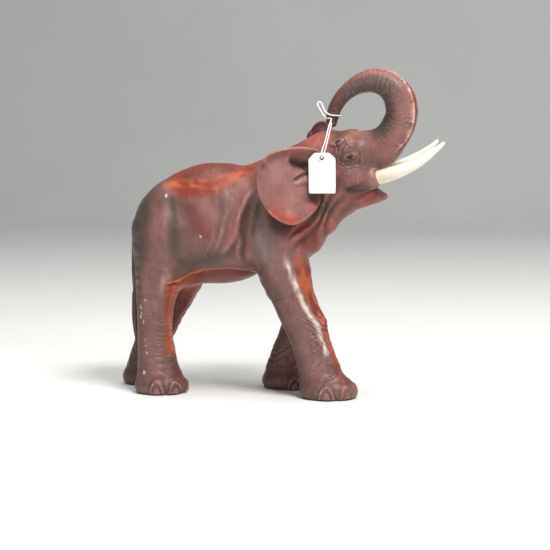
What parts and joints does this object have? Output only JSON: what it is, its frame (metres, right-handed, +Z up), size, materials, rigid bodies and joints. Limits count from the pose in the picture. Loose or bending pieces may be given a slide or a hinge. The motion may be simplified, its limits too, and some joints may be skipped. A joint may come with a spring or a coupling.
{
  "type": "elephant figurine",
  "caption": "Standing elephant figurine in dyed leather over a carved wooden core, trunk raised and curled over its head, ivory-white tusks, blank ticket tied to the trunk tip.",
  "frame": {"origin": "on the ground, under the middle of the elephant's box", "axes": "+X towards the head, +Y to the elephant's left, +Z up"},
  "size_m": [0.4668, 0.193, 0.4339],
  "materials": {
    "hide_leather": "dyed, waxed and polished, worn on the ridges",
    "ear_leather": "dyed, waxed and polished",
    "tail_leather": "dyed, waxed",
    "sole_leather": "plain, scuffed",
    "core_wood": "carved, unfinished",
    "dowel_wood": "turned, unfinished",
    "tusk_resin": "polished, ivory white",
    "eye_glass": "dark, polished",
    "ticket_card": "blank manila card, matt",
    "ticket_cotton": "twisted cotton"
  },
  "bodies": {
    "elephant": {"flank_leather_right": "hide_leather", "flank_leather_left": "hide_leather", "belly_leather": "hide_leather", "head_leather": "hide_leather", "trunk_leather": "hide_leather", "leg_leather_front_right": "hide_leather", "leg_leather_front_left": "hide_leather", "leg_leather_rear_right": "hide_leather", "leg_leather_rear_left": "hide_leather", "torso_core": "core_wood", "head_core": "core_wood", "trunk_core": "core_wood", "leg_core_front_right": "core_wood", "leg_core_front_left": "core_wood", "leg_core_rear_right": "core_wood", "leg_core_rear_left": "core_wood", "neck_dowel": "dowel_wood", "trunk_dowel": "dowel_wood", "front_leg_dowel_right": "dowel_wood", "front_leg_dowel_left": "dowel_wood", "rear_leg_dowel_right": "dowel_wood", "rear_leg_dowel_left": "dowel_wood", "sole_front_right": "sole_leather", "sole_front_left": "sole_leather", "sole_rear_right": "sole_leather", "sole_rear_left": "sole_leather", "ear_right": "ear_leather", "ear_left": "ear_leather", "tail_leather": "tail_leather", "tail_tuft": "tail_leather", "tusk_right": "tusk_resin", "tusk_left": "tusk_resin", "eye_right": "eye_glass", "eye_left": "eye_glass", "ticket_string": "ticket_cotton"},
    "ticket": {"lot_ticket": "ticket_card"}
  },
  "joints": [
    {"name": "ticket_swing", "type": "hinge", "parent": "elephant", "child": "ticket", "pos_m": [0.0766, -0.0644, 0.319], "axis": [-1, 0, 0], "range_deg": [0, 40]}
  ]
}
